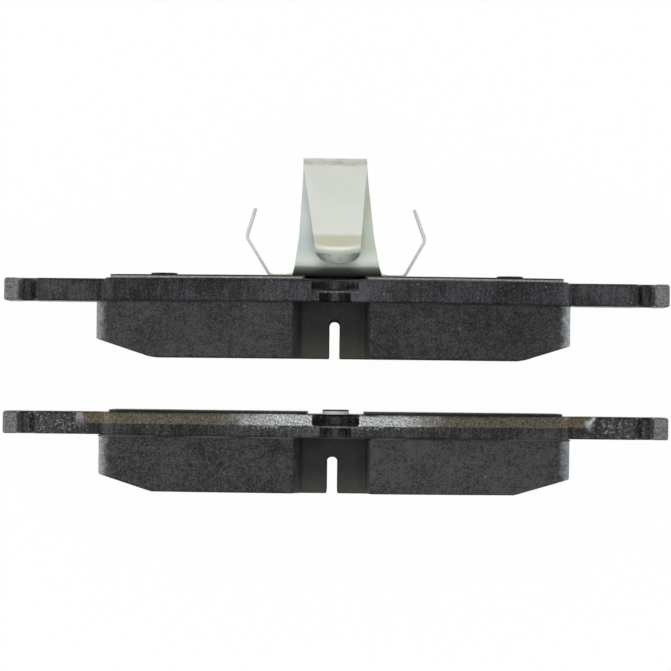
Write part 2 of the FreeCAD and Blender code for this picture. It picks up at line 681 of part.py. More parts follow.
def make_tongue_leaf(label, seat):
    """Front leaf of the clip: over the fold, down to the knee and back in a curled lip."""
    body = new_body(label, y=seat)
    lean_sin = "sin(front_lean * 1deg)"
    lean_cos = "cos(front_lean * 1deg)"
    lip_sin = "sin(lip_lean * 1deg)"
    lip_cos = "cos(lip_lean * 1deg)"
    start_y = f"fold_centre + fold_radius * {lean_sin}"
    start_z = f"fold_middle + fold_radius * {lean_cos}"
    knee_y = f"{start_y} - front_length * {lean_cos}"
    knee_z = f"{start_z} + front_length * {lean_sin}"
    tip_y = f"{knee_y} - lip_length * {lip_cos}"
    tip_z = f"{knee_z} - lip_length * {lip_sin}"
    mitre = "(1 + cos((front_lean + lip_lean) * 1deg))"
    knee_dy = f"strip / 2 * ({lean_sin} - {lip_sin}) / {mitre}"
    knee_dz = f"strip / 2 * ({lean_cos} + {lip_cos}) / {mitre}"
    outer_knee = (f"{knee_y} + {knee_dy}", f"{knee_z} + {knee_dz}")
    inner_knee = (f"{knee_y} - {knee_dy}", f"{knee_z} - {knee_dz}")
    outer = "fold_radius + strip / 2"
    inner = "fold_radius - strip / 2"
    profile = new_sketch(body, "leaf_profile", SIDE)
    draw_loop(profile, [
        ("fold_centre", f"fold_middle - ({outer})"),
        (f"fold_centre + {outer}", "fold_middle"),
        (f"fold_centre + ({outer}) * {lean_sin}", f"fold_middle + ({outer}) * {lean_cos}"),
        outer_knee,
        (f"{tip_y} - strip / 2 * {lip_sin}", f"{tip_z} + strip / 2 * {lip_cos}"),
        (f"{tip_y} + strip / 2 * {lip_sin}", f"{tip_z} - strip / 2 * {lip_cos}"),
        inner_knee,
        (f"fold_centre + ({inner}) * {lean_sin}", f"fold_middle + ({inner}) * {lean_cos}"),
        (f"fold_centre + {inner}", "fold_middle"),
        ("fold_centre", f"fold_middle - ({inner})"),
    ], {0: (outer, -1), 1: (outer, -1), 7: (inner, 1), 8: (inner, 1)})
    pad(body, "front_leaf", profile, "leaf_top_half * 2", both=True)
    round_corners(body, "knee_outside", [outer_knee], "knee_bend + strip / 2", axis=0)
    round_corners(body, "knee_inside", [inner_knee], "knee_bend - strip / 2", axis=0)

    # The sides taper from the fold, and the lip ends in a half circle.
    lowest = f"{tip_y} - strip / 2 * {lip_sin}"
    round_centre = f"{lowest} + front_low_half"
    sides = new_sketch(body, "leaf_taper", TOP)
    for way, turn in (("", 1), ("-", -1)):
        draw_loop(sides, [
            (f"{way}(leaf_top_half + 1)", "fold_centre"),
            (f"{way}leaf_top_half", "fold_centre"),
            (f"{way}front_low_half", round_centre),
            (f"{way}0.02", f"{lowest} + 0.0001"),
            (f"{way}0.02", f"{lowest} - 2"),
            (f"{way}(leaf_top_half + 1)", f"{lowest} - 2"),
        ], {2: ("front_low_half", -turn)})
    cut(body, "leaf_taper_cut", sides, "plate_height * 2", both=True)
    return body


def check_and_write():
    doc.recompute()
    os.makedirs("parts", exist_ok=True)
    for item in doc.Objects:
        if "Invalid" in item.State or "Error" in item.State:
            raise RuntimeError(f"{item.Name}: {item.State}")
    for body in bodies:
        shape = body.Shape
        if shape.isNull() or not shape.isValid() or len(shape.Solids) != 1:
            raise RuntimeError(f"{body.Label}: bad shape")
        shape.exportStep(f"parts/{body.Label}.step")
        box = shape.BoundBox
        print(f"{body.Label:28s} {shape.Volume:10.1f} mm3  "
              f"x {box.XMin:7.2f} {box.XMax:7.2f}  y {box.YMin:7.2f} {box.YMax:7.2f}  "
              f"z {box.ZMin:6.2f} {box.ZMax:6.2f}")


fill_sheet()

SIDES = (("left", "-"), ("right", ""))
SHIM_RIVETS = both_sides("shim_rivet_offset", "shim_rivet_height")
CLIP_RIVETS = both_sides("clip_rivet_offset", "clip_rivet_height")
INNER_SEAT = "inner_back + inner_shim"
PADS = [
    # side, back plane, rivet holes in the plate
    ("inner", "inner_back", SHIM_RIVETS + CLIP_RIVETS),
    ("outer", "outer_back", [("0", "shim_rivet_height")]),
]

for side, back, holes in PADS:
    make_plate(f"{side}_backing_plate", side, back, holes)
    face = f"{back} - plate_thickness"
    make_lining_layer(f"{side}_bonding_layer", side, face, "bond_thickness", "bond_proud")
    face = f"{face} - bond_thickness"
    make_lining_layer(f"{side}_underlayer", side, face, "underlayer_thickness")
    face = f"{face} - underlayer_thickness"
    make_friction_block(f"{side}_friction_block", side, face)

make_shim_layer("inner_shim_damping_layer", "inner_back", "inner_damping_thickness",
                SHIM_RIVETS + CLIP_RIVETS)
make_shim_layer("inner_shim_cover", "inner_back + inner_damping_thickness",
                "inner_cover_thickness", SHIM_RIVETS + CLIP_RIVETS)
for name, way in SIDES:
    make_shim_patch(f"outer_shim_damping_layer_{name}", "outer_back",
                    "outer_damping_thickness", way)
    make_shim_patch(f"outer_shim_cover_{name}", "outer_back + outer_damping_thickness",
                    "outer_cover_thickness", way)
    make_rivet(f"inner_shim_rivet_{name}", f"{way}shim_rivet_offset", "shim_rivet_height",
               INNER_SEAT, "shim_rivet_head", "shim_rivet_rise", "inner_shim")
    make_rivet(f"clip_rivet_{name}", f"{way}clip_rivet_offset", "clip_rivet_height",
               f"{INNER_SEAT} + strip", "clip_rivet_head", "clip_rivet_rise", "inner_shim + strip")
    make_clip_arm(f"clip_{name}_arm", INNER_SEAT, way)
make_rivet("outer_locating_rivet", "0", "shim_rivet_height",
           "outer_back", "shim_rivet_head", "outer_shim + shim_rivet_rise", "0")
make_clip_base("clip_base", INNER_SEAT, CLIP_RIVETS)
make_tongue_leaf("clip_tongue_leaf", INNER_SEAT)

check_and_write()
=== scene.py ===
import json
import math

import bmesh
import bpy
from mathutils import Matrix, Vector, noise


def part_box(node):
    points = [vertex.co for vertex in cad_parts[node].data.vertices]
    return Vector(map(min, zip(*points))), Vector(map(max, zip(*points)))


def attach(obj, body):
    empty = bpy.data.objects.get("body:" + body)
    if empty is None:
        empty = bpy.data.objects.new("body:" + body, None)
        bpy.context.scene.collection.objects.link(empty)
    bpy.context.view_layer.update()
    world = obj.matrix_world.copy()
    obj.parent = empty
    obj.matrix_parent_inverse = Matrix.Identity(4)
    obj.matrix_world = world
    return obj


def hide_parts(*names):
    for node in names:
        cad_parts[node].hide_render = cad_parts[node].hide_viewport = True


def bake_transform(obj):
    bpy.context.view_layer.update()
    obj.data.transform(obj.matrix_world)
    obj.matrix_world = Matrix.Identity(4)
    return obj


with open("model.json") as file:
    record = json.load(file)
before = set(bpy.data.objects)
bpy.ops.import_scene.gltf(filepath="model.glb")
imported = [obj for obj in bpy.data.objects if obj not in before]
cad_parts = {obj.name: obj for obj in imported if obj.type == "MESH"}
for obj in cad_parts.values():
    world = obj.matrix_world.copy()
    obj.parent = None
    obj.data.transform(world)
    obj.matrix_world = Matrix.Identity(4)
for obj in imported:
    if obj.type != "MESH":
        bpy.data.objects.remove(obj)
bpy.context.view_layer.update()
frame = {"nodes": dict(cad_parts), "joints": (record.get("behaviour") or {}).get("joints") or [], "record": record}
NODES = frame["nodes"]
JOINTS = {joint["name"]: joint for joint in frame["joints"]}

# The two brake pads stand on z = 0 with their back faces towards +Y. The camera looks straight down
# on their curved top edges, as a catalogue shows them. The frame is in metres. The finishes and the
# clip are worked out in millimetres and brought to the frame by MM.

MM = 0.001


def box_mm(node):
    """Low and high corner of a CAD node, in millimetres."""
    low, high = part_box(node)
    return low / MM, high / MM


def srgb(red, green, blue):
    """A colour given as it looks on screen (0 to 255), as the linear colour a shader takes."""
    def linear(part):
        part /= 255
        return part / 12.92 if part <= 0.04045 else ((part + 0.055) / 1.055) ** 2.4
    return (linear(red), linear(green), linear(blue), 1.0)


# ---------------------------------------------------------------- camera, floor and light

EYE_HEIGHT = 1.40          # above the floor
EYE_SIDE = -0.0001         # a touch left of the middle
EAR_TOP = 0.038            # height of the ears' upper edge
FIELD = 0.157512           # what the picture's width spans at that height
SENSOR = 36.0
ROLL = math.radians(0.63)  # how far the pads look turned in the picture
AIM_OFFSET = 0.01174       # the picture's middle lies this far from the pads' middle, along Y
LAMP_TARGET = Vector((0, 0, 0.03))
FLOOR_HALF = 4.0
FLOOR_GLOW = 0.98          # share of the floor's plain white over its lit paint


def make_camera():
    """A long lens above the middle of the two pads, aimed a little towards the clip."""
    data = bpy.data.cameras.new("camera")
    camera = bpy.data.objects.new("camera", data)
    bpy.context.scene.collection.objects.link(camera)
    data.sensor_width = SENSOR
    data.lens = SENSOR * (EYE_HEIGHT - EAR_TOP) / FIELD
    data.clip_end = 20
    low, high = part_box("outer_friction_block")[0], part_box("inner_backing_plate")[1]
    tilt = math.atan(AIM_OFFSET / (EYE_HEIGHT - high.z))
    camera.location = (EYE_SIDE, (low.y + high.y) / 2, EYE_HEIGHT)
    camera.rotation_euler = (tilt, 0, ROLL)
    bpy.context.scene.camera = camera


def make_lamp(name, place, size, power):
    """A rectangular soft lamp turned towards the pads, unseen by the camera."""
    data = bpy.data.lights.new(name, "AREA")
    data.shape = "RECTANGLE"
    data.size, data.size_y = size
    data.energy = power
    lamp = bpy.data.objects.new(name, data)
    bpy.context.scene.collection.objects.link(lamp)
    lamp.location = place
    lamp.rotation_euler = (LAMP_TARGET - Vector(place)).to_track_quat("-Z", "Y").to_euler()
    lamp.visible_camera = False


def make_world():
    """Even surroundings that light the pads at half strength and look white to the camera."""
    world = bpy.data.worlds.new("studio")
    bpy.context.scene.world = world
    world.use_nodes = True
    tree = world.node_tree
    tree.nodes.clear()
    path = tree.nodes.new("ShaderNodeLightPath")
    dim = tree.nodes.new("ShaderNodeBackground")
    bright = tree.nodes.new("ShaderNodeBackground")
    mix = tree.nodes.new("ShaderNodeMixShader")
    output = tree.nodes.new("ShaderNodeOutputWorld")
    dim.inputs["Color"].default_value = (1, 1, 1, 1)
    dim.inputs["Strength"].default_value = 0.5
    bright.inputs["Color"].default_value = (1, 1, 1, 1)
    bright.inputs["Strength"].default_value = 1.0
    tree.links.new(path.outputs["Is Camera Ray"], mix.inputs["Fac"])
    tree.links.new(dim.outputs["Background"], mix.inputs[1])
    tree.links.new(bright.outputs["Background"], mix.inputs[2])
    tree.links.new(mix.outputs["Shader"], output.inputs["Surface"])


def make_floor():
    """Plain white floor: white to the camera and in reflections, with a faint shadow kept."""
    data = bpy.data.meshes.new("floor")
    half = FLOOR_HALF
    corners = [(-half, -half, 0), (half, -half, 0), (half, half, 0), (-half, half, 0)]
    data.from_pydata(corners, [], [(0, 1, 2, 3)])
    floor = bpy.data.objects.new("floor", data)
    bpy.context.scene.collection.objects.link(floor)
    material = bpy.data.materials.new("floor_white")
    material.use_nodes = True
    tree = material.node_tree
    tree.nodes.clear()
    path = tree.nodes.new("ShaderNodeLightPath")
    seen = tree.nodes.new("ShaderNodeMath")
    share = tree.nodes.new("ShaderNodeMath")
    paint = tree.nodes.new("ShaderNodeBsdfDiffuse")
    glow = tree.nodes.new("ShaderNodeEmission")
    mix = tree.nodes.new("ShaderNodeMixShader")
    output = tree.nodes.new("ShaderNodeOutputMaterial")
    seen.operation = "MAXIMUM"
    share.operation = "MULTIPLY"
    share.inputs[1].default_value = FLOOR_GLOW
    paint.inputs["Color"].default_value = (0.93, 0.93, 0.93, 1)
    glow.inputs["Strength"].default_value = 1.0
    tree.links.new(path.outputs["Is Camera Ray"], seen.inputs[0])
    tree.links.new(path.outputs["Is Glossy Ray"], seen.inputs[1])
    tree.links.new(seen.outputs["Value"], share.inputs[0])
    tree.links.new(share.outputs["Value"], mix.inputs["Fac"])
    tree.links.new(paint.outputs["BSDF"], mix.inputs[1])
    tree.links.new(glow.outputs["Emission"], mix.inputs[2])
    tree.links.new(mix.outputs["Shader"], output.inputs["Surface"])
    data.materials.append(material)


def make_studio():
    """Camera, surroundings, floor and three soft lamps."""
    make_camera()
    make_world()
    make_floor()
    make_lamp("lamp_above", (0, 0, 1.9), (1.5, 1.5), 14)
    make_lamp("lamp_left", (-1.3, 0.1, 0.5), (0.8, 1.0), 6)
    make_lamp("lamp_right", (1.3, 0.1, 0.5), (0.8, 1.0), 2.5)
    bpy.context.scene.view_settings.view_transform = "Standard"


# ---------------------------------------------------------------- finishes

class Finish:
    """A procedural material. Patterns are in object space, in millimetres."""

    WOBBLE = 0.35          # how uneven the rims of flecks are

    def __init__(self, name, roughness=0.5, metallic=0.0, specular=0.3):
        self.material = bpy.data.materials.new(name)
        self.material.use_nodes = True
        self.tree = self.material.node_tree
        self.shader = self.tree.nodes["Principled BSDF"]
        self.shader.inputs["Roughness"].default_value = roughness
        self.shader.inputs["Metallic"].default_value = metallic
        self.shader.inputs["Specular IOR Level"].default_value = specular
        place = self.tree.nodes.new("ShaderNodeTexCoord")
        self.normal = place.outputs["Normal"]
        self.place = self.vector("SCALE", place.outputs["Object"], scale=1 / MM)

    def link(self, source, socket):
        """Set a socket to a plain value, or join it to another node's output."""
        if isinstance(source, (int, float, tuple)):
            socket.default_value = source
        else:
            self.tree.links.new(source, socket)

    def vector(self, operation, vector, scale=None, other=None):
        """Result of a vector operation with a plain scale or another vector."""
        node = self.tree.nodes.new("ShaderNodeVectorMath")
        node.operation = operation
        self.link(vector, node.inputs[0])
        if scale is not None:
            node.inputs["Scale"].default_value = scale
        if other is not None:
            self.link(other, node.inputs[1])
        return node.outputs["Vector"]

    def math(self, operation, first, second=0.0):
        """Result of an arithmetic operation on one or two values."""
        node = self.tree.nodes.new("ShaderNodeMath")
        node.operation = operation
        self.link(first, node.inputs[0])
        self.link(second, node.inputs[1])
        return node.outputs["Value"]

    def both(self, first, *others):
        """Product of masks."""
        for other in others:
            first = self.math("MULTIPLY", first, other)
        return first

    def part(self, source, name):
        """One component of a vector."""
        node = self.tree.nodes.new("ShaderNodeSeparateXYZ")
        self.link(source, node.inputs["Vector"])
        return node.outputs[name]

    def axis(self, name):
        """Place along an axis of the object, in millimetres."""
        return self.part(self.place, name)

    def facing(self, name):
        """How squarely the surface faces along an axis of the object, 0 to 1."""
        return self.math("ABSOLUTE", self.part(self.normal, name))

    def grain(self, size, stretch=(1, 1, 1), detail=2.0, rough=0.5, shift=0.0):
        """Noise whose features are about size millimetres, drawn out along an axis by stretch."""
        vector = self.vector("MULTIPLY", self.place, other=tuple(1 / s for s in stretch))
        vector = self.vector("ADD", vector, other=(shift, shift * 0.7, shift * 1.3))
        node = self.tree.nodes.new("ShaderNodeTexNoise")
        self.link(vector, node.inputs["Vector"])
        node.inputs["Scale"].default_value = 1 / size
        node.inputs["Detail"].default_value = detail
        node.inputs["Roughness"].default_value = rough
        return node.outputs["Fac"]

    def flecks(self, size, radius, share, shift):
        """Mask of scattered irregular flecks: cells of a size, a radius, and the share filled."""
        drift = self.math("MULTIPLY", self.grain(size * 0.4, shift=shift + 5), self.WOBBLE)
        vector = self.vector("ADD", self.place, other=(shift, shift, shift))
        node = self.tree.nodes.new("ShaderNodeTexVoronoi")
        self.link(vector, node.inputs["Vector"])
        node.inputs["Scale"].default_value = 1 / size
        distance = self.math("ADD", node.outputs["Distance"], drift)
        chosen = self.step(self.part(node.outputs["Color"], "X"), 1 - share, 1 - share * 0.8)
        reach = radius / size + self.WOBBLE / 2
        return self.both(chosen, self.step(distance, reach, reach * 0.7))

    def step(self, source, low, high, start=0.0, end=1.0):
        """Smooth step of a value from start to end while the source goes from low to high."""
        node = self.tree.nodes.new("ShaderNodeMapRange")
        node.interpolation_type = "SMOOTHSTEP"
        self.link(source, node.inputs["Value"])
        node.inputs["From Min"].default_value = low
        node.inputs["From Max"].default_value = high
        node.inputs["To Min"].default_value = start
        node.inputs["To Max"].default_value = end
        return node.outputs["Result"]

    def mix(self, share, first, second):
        """The first colour where the share is 0, the second where it is 1."""
        node = self.tree.nodes.new("ShaderNodeMix")
        node.data_type = "RGBA"
        self.link(share, node.inputs[0])
        self.link(first, node.inputs[6])
        self.link(second, node.inputs[7])
        return node.outputs[2]

    def colour(self, source):
        self.link(source, self.shader.inputs["Base Color"])

    def gloss(self, source):
        self.link(source, self.shader.inputs["Roughness"])

    def bumps(self, *layers):
        """Bump layers, each (height, strength, depth in millimetres)."""
        normal = None
        for height, strength, depth in layers:
            node = self.tree.nodes.new("ShaderNodeBump")
            node.inputs["Strength"].default_value = strength
            node.inputs["Distance"].default_value = depth * MM
            self.link(height, node.inputs["Height"])
            if normal is not None:
                self.link(normal, node.inputs["Normal"])
            normal = node.outputs["Normal"]
        self.link(normal, self.shader.inputs["Normal"])


# Features of the plates and linings that the finishes follow, in millimetres: half widths and places
# are counted from the middle of the plate along X, heights along Z.
NOTCH_HALF = 6.4
NOTCH_FLOOR = 54.0
PLATE_TOP = 63.4
ROOT_FROM, ROOT_TO = 53.4, 57
EAR_RIM = 43
EAR_FROM, EAR_TO = 57, 74
HAMMER_FROM = 73.6
RECESS_HALF = 9.6
RECESS_FLOOR = 52.6
CLEARANCE_X = -0.45        # middle and half width of the inner shim's clearance round the notch
CLEARANCE_HALF = 7.9
BASE_HALF = 11.85          # half width of the clip's flat base
LIP_REACH = 3.4            # how far the clip's lip runs on below its knee, along Y


def plate_finish(name, dark, pale):
    """Powder coat over a blanked steel plate: speckled in patches, streaked across the sheared
    edge, smooth and painted a little darker as shade in the notch and in the ears' roots, paler
    grey on the hammers, with a painted highlight along the notch's ledge."""
    finish = Finish(name, roughness=0.4, specular=0.2)
    peel = finish.grain(0.85, detail=3)
    speckle = finish.grain(0.4, detail=3, rough=0.75, shift=3)
    streak = finish.grain(0.6, stretch=(1, 9, 2), detail=3, shift=7)
    cloud = finish.grain(11, detail=2, shift=11)
    along = finish.math("ABSOLUTE", finish.axis("X"))
    height = finish.axis("Z")
    notch = finish.both(finish.step(along, NOTCH_HALF, NOTCH_HALF - 0.2),
                        finish.step(height, PLATE_TOP, PLATE_TOP - 0.2),
                        finish.step(height, NOTCH_FLOOR, NOTCH_FLOOR + 0.5))
    root = finish.both(finish.step(along, ROOT_FROM, ROOT_FROM + 0.8),
                       finish.step(along, ROOT_TO, ROOT_TO - 1),
                       finish.step(height, EAR_RIM, EAR_RIM - 2))
    smooth = finish.math("MAXIMUM", notch, root)

    share = finish.math("ADD", speckle, finish.math("MULTIPLY", streak, 0.4))
    share = finish.math("ADD", share, finish.math("MULTIPLY", cloud, 0.45))
    # The notch and the ears' roots are painted a little darker, as shade in the recess and the crease.
    share = finish.math("SUBTRACT", share, finish.math("MULTIPLY", smooth, 0.05))
    coat = finish.mix(finish.step(share, 0.78, 1.16), dark, pale)
    glint = finish.flecks(1.3, 0.16, 0.3, shift=2)
    glint = finish.both(glint, finish.step(smooth, 0.5, 0.0), 0.8)
    coat = finish.mix(glint, coat, srgb(158, 158, 162))
    # The hammers are painted a paler grey.
    hammer = finish.step(along, HAMMER_FROM, HAMMER_FROM + 1.2)
    hammer_pale = finish.both(hammer, finish.step(speckle, 0.38, 0.6, 0.3, 1.0))
    coat = finish.mix(hammer_pale, coat, srgb(124, 126, 127))
    back = box_mm(name.replace("plate_paint", "backing_plate"))[1].y
    depth = finish.math("SUBTRACT", back, finish.axis("Y"))
    # Painted highlight: a pale speckled line on the notch's ledge, where its edge catches the light.
    ledge_highlight = finish.both(notch, finish.step(depth, 2.55, 2.75), finish.step(depth, 3.2, 3.0),
                        finish.step(speckle, 0.4, 0.6, 0.2, 0.9))
    coat = finish.mix(ledge_highlight, coat, srgb(150, 152, 156))
    if name == "outer_plate_paint":
        coat = edge_wear_and_sheen(finish, coat, along, depth, finish.step(notch, 0.6, 0.3))
    finish.colour(coat)
    rough = finish.step(peel, 0.3, 0.7, 0.3, 0.5)
    finish.gloss(finish.math("SUBTRACT", rough, finish.math("MULTIPLY", smooth, 0.1)))
    side = finish.step(finish.facing("Y"), 0.75, 0.4)
    finish.bumps((peel, 0.5, 0.14), (speckle, 0.4, 0.08), (finish.both(streak, side), 0.5, 0.14))
    return finish.material


WORN_LIT_TO = 63.5             # how far along X the worn and lit band reaches
WORN_LIT_DEPTH = 3.0           # how far it reaches in from the back face
SHINY_TO = 34              # how far along X it is bright


def edge_wear_and_sheen(finish, coat, along, depth, outside):
    """The outer plate's edge is painted with a band next to the back face: bare-metal colours where
    the coat is lost, and painted sheen where light catches the edge's upper facet, bright near the
    middle. Below the band and on the ears it breaks up into pale flecks, partly chipped coat and
    partly painted glints, and a painted highlight sits near either end."""
    wander = finish.grain(2.6, detail=3, shift=5)
    ragged = finish.math("ADD", depth, finish.math("MULTIPLY", wander, 0.5))
    reach = finish.math("ADD", along, finish.math("MULTIPLY", wander, 6))
    up = finish.both(finish.step(finish.facing("Y"), 0.97, 0.8),
                     finish.step(finish.facing("Z"), 0.05, 0.3), outside)
    # Painted sheen: the band is bright where light catches the edge's upper facet, brightest near the middle, over
    # bare-metal colours.
    band = finish.both(finish.step(ragged, WORN_LIT_DEPTH, WORN_LIT_DEPTH - 0.25),
                       finish.step(reach, WORN_LIT_TO, WORN_LIT_TO - 2), up)
    fine = finish.grain(0.3, detail=3, rough=0.7, shift=17)
    metal = finish.step(fine, 0.38, 0.62)
    brown = finish.mix(metal, srgb(40, 37, 29), srgb(108, 103, 88))
    gold = finish.mix(metal, srgb(42, 36, 25), srgb(126, 114, 88))
    brown = finish.mix(finish.step(along, 49, 54), brown, gold)
    silver = finish.mix(metal, srgb(92, 95, 96), srgb(222, 226, 227))
    shiny_reach = finish.math("ADD", along, finish.math("MULTIPLY", wander, 12))
    bright = finish.step(shiny_reach, SHINY_TO, SHINY_TO - 16)
    coat = finish.mix(band, coat, finish.mix(bright, brown, silver))
    # Pale flecks on the ears and below the band: partly chipped coat, partly painted glints.
    spots = finish.grain(0.75, detail=3, rough=0.7, shift=29)
    on_ear = finish.both(finish.step(along, EAR_FROM, EAR_FROM + 3),
                         finish.step(along, EAR_TO, EAR_TO - 2), finish.step(spots, 0.56, 0.64))
    below = finish.both(bright, finish.step(ragged, WORN_LIT_DEPTH + 1, WORN_LIT_DEPTH + 0.2),
                        finish.step(spots, 0.52, 0.6))
    chips = finish.both(finish.math("MAXIMUM", on_ear, below), up)
    coat = finish.mix(finish.math("MULTIPLY", chips, 0.75), coat, srgb(146, 147, 146))
    # Painted highlight: a bright spot near either end of the band.
    end_glint = finish.both(finish.step(reach, WORN_LIT_TO - 1.6, WORN_LIT_TO - 0.6),
                         finish.step(reach, WORN_LIT_TO + 0.6, WORN_LIT_TO - 0.4), up,
                         finish.step(ragged, 4.2, 1.0), finish.step(fine, 0.34, 0.58, 0.3, 1.0),
                         finish.step(finish.axis("X"), -1, 1, 0.4, 0.9))
    return finish.mix(end_glint, coat, srgb(226, 229, 232))


# Each pad's lining: half the spread of its mottling, how much paler its left and right parts are, and
# the tints of its ground left and right ends.
LININGS = {
    "inner": (0.25, (0.02, -0.03), (srgb(162, 166, 158), srgb(198, 204, 208))),
    "outer": (0.2, (0.0, 0.08), (srgb(176, 180, 174), srgb(166, 173, 178))),
}


def friction_finish(name, side):
    """Pressed friction mix: dark binder, grey grains, pale flecks and metal chips. The recess's
    floor is smooth and painted dark as shade, darkest next to the plate, and the ends are ground,
    which leaves them paler."""
    finish = Finish(name, roughness=0.8)
    spread, gains, tints = LININGS[side]
    cloud = finish.grain(9, detail=4, rough=0.6)
    clump = finish.grain(1.5, detail=3, rough=0.6, shift=12)
    grain = finish.grain(0.46, detail=3, rough=0.75, shift=4)
    share = finish.math("MULTIPLY", grain, 1.25)
    share = finish.math("ADD", share, finish.math("MULTIPLY", clump, 0.38))
    share = finish.math("ADD", share, finish.math("MULTIPLY", cloud, 0.36))
    share = finish.math("ADD", share, finish.step(finish.axis("X"), -15, 15, *gains))
    base = finish.mix(finish.step(share, 1.01 - spread, 1.01 + spread),
                      srgb(15, 15, 17), srgb(72, 72, 74))
    pits = finish.flecks(1.0, 0.3, 0.3, shift=9)
    base = finish.mix(finish.math("MULTIPLY", pits, 0.6), base, srgb(14, 14, 15))
    pale = finish.flecks(1.5, 0.22, 0.16, shift=21)
    base = finish.mix(finish.math("MULTIPLY", pale, 0.5), base, srgb(122, 124, 122))
    chips = finish.flecks(3.4, 0.2, 0.14, shift=33)
    base = finish.mix(chips, base, srgb(160, 160, 154))

    low, high = box_mm(f"{side}_friction_block")
    height = finish.axis("Z")
    off = finish.math("ABSOLUTE", finish.math("SUBTRACT", finish.axis("X"), (low.x + high.x) / 2))
    # Painted shade: the recess's floor is darkened, most next to the plate.
    recess_shade = finish.both(finish.step(off, RECESS_HALF, RECESS_HALF - 0.7),
                       finish.step(height, RECESS_FLOOR, RECESS_FLOOR + 1.2),
                       finish.step(height, RECESS_FLOOR + 8.4, RECESS_FLOOR + 2.4))
    recess_shade_tint = finish.mix(finish.step(finish.axis("Y"), high.y - 4, low.y),
                            srgb(36, 36, 38), srgb(70, 68, 58))
    base = finish.mix(finish.math("MULTIPLY", recess_shade, 0.75), base, recess_shade_tint)
    worn = finish.grain(1.6, detail=3, shift=14)
    for end, away, tint in ((low.x, 1, tints[0]), (high.x, -1, tints[1])):
        inside = finish.math("MULTIPLY", finish.math("SUBTRACT", finish.axis("X"), end), away)
        inside = finish.math("ADD", inside, finish.math("MULTIPLY", worn, 2.4))
        ground = finish.both(finish.step(inside, 4.0, 1.0),
                             finish.step(grain, 0.34, 0.6, 0.35, 0.9))
        base = finish.mix(ground, base, tint)
    finish.colour(base)
    finish.link(chips, finish.shader.inputs["Metallic"])
    finish.gloss(finish.step(grain, 0.3, 0.7, 0.62, 0.85))
    hollows = finish.math("MULTIPLY", pits, -1.0)
    finish.bumps((grain, 0.7, 0.2), (clump, 0.4, 0.2), (hollows, 0.6, 0.2))
    return finish.material


def steel_finish(name):
    """Zinc-plated spring strip: satin, with faint rolling lines. The back leaf is painted darker as
    shade under the front leaf, with a blue cast on one side and green on the other. The bend next to
    the plate is painted dark as shade from the plate and as the lip's shadow, most in the middle. A
    darker yellow-grey band runs above the tongue's knee, and the lip is painted bright under the
    knee and darker towards its rim and ends, as light and shade on its curl."""
    finish = Finish(name, roughness=0.38, metallic=0.35, specular=0.5)
    lines = finish.grain(0.2, stretch=(1, 18, 18), detail=2)
    cloud = finish.grain(6, detail=3, shift=2)
    pits = finish.grain(0.35, detail=3, shift=6)
    x, y, z = (finish.axis(axis) for axis in "XYZ")
    off = finish.math("ABSOLUTE", x)
    low, high = box_mm("clip_tongue_leaf")
    base_low, base_high = box_mm("clip_base")
    plate_side = base_low.y
    leaf_top = base_high.z
    knee = low.y + LIP_REACH
    lip_half = high.x * 0.76
    front = finish.step(z, leaf_top + 1.05, leaf_top + 1.65)

    base = finish.mix(finish.step(cloud, 0.4, 0.65), srgb(213, 216, 209), srgb(209, 212, 203))
    # Painted shade: the back leaf is darker under the front leaf and paler towards the base, with a blue cast on
    # one side and green on the other.
    shaded_back_leaf = finish.mix(finish.step(x, -8, 8), srgb(178, 187, 184), srgb(170, 179, 162))
    shaded_back_leaf = finish.mix(finish.step(y, 18.5, 14.5), shaded_back_leaf, srgb(200, 205, 199))
    # Painted shade: the bend next to the plate is darkened as shade from the plate wall and as the lip's shadow,
    # most in the middle.
    level = finish.math("ADD", y, finish.step(off, 6.5, 2.0, 0.4, -0.9))
    bend_shade = finish.both(finish.step(level, plate_side + 4.6, plate_side + 0.4),
                          finish.step(off, BASE_HALF + 0.15, BASE_HALF - 0.35),
                          finish.step(z, leaf_top - 8.35, leaf_top - 4.35))
    shaded_back_leaf = finish.mix(bend_shade, shaded_back_leaf, srgb(94, 97, 90))
    base = finish.mix(front, shaded_back_leaf, base)
    # A darker yellow-grey band above the tongue's knee.
    yellow = finish.both(front, finish.step(y, knee + 3.7, knee + 2.7),
                         finish.step(y, knee, knee + 0.6))
    base = finish.mix(finish.math("MULTIPLY", yellow, 0.85), base, srgb(184, 184, 160))
    out = finish.math("POWER", finish.math("DIVIDE", off, lip_half), 2.0)
    # Painted highlight: the lip is near-white just under the knee.
    lip = finish.both(front, finish.step(y, knee + 0.4, knee - 0.4))
    base = finish.mix(lip, base, srgb(244, 255, 240))
    scuffs = finish.grain(0.5, stretch=(2.5, 1, 1), detail=3, rough=0.7, shift=9)
    shaded = finish.math("SUBTRACT", y, finish.math("MULTIPLY", out, 0.6))
    # Painted shade: the lip darkens towards its rim and ends, with scuffs.
    crescent = finish.both(front, finish.step(shaded, knee - 1.1, knee - 1.5))
    lip_shade = finish.mix(finish.step(out, -0.05, 0.55), srgb(252, 255, 252), srgb(172, 184, 174))
    lip_shade = finish.mix(finish.step(scuffs, 0.5, 0.36, 0.0, 0.5), lip_shade, srgb(120, 130, 122))
    base = finish.mix(crescent, base, lip_shade)
    blotch = finish.grain(1.3, stretch=(2.2, 1, 1), detail=4, rough=0.65, shift=15)
    stretched = finish.both(finish.step(y, high.y - 2.4, high.y - 1.3),
                            finish.step(blotch, 0.42, 0.66))
    base = finish.mix(finish.math("MULTIPLY", stretched, 0.5), base, srgb(158, 158, 138))
    base = finish.mix(finish.step(pits, 0.64, 0.74, 0.0, 0.3), base, srgb(150, 148, 136))
    finish.colour(base)
    finish.gloss(finish.step(cloud, 0.3, 0.7, 0.34, 0.44))
    finish.bumps((lines, 0.2, 0.02), (pits, 0.25, 0.03))
    return finish.material


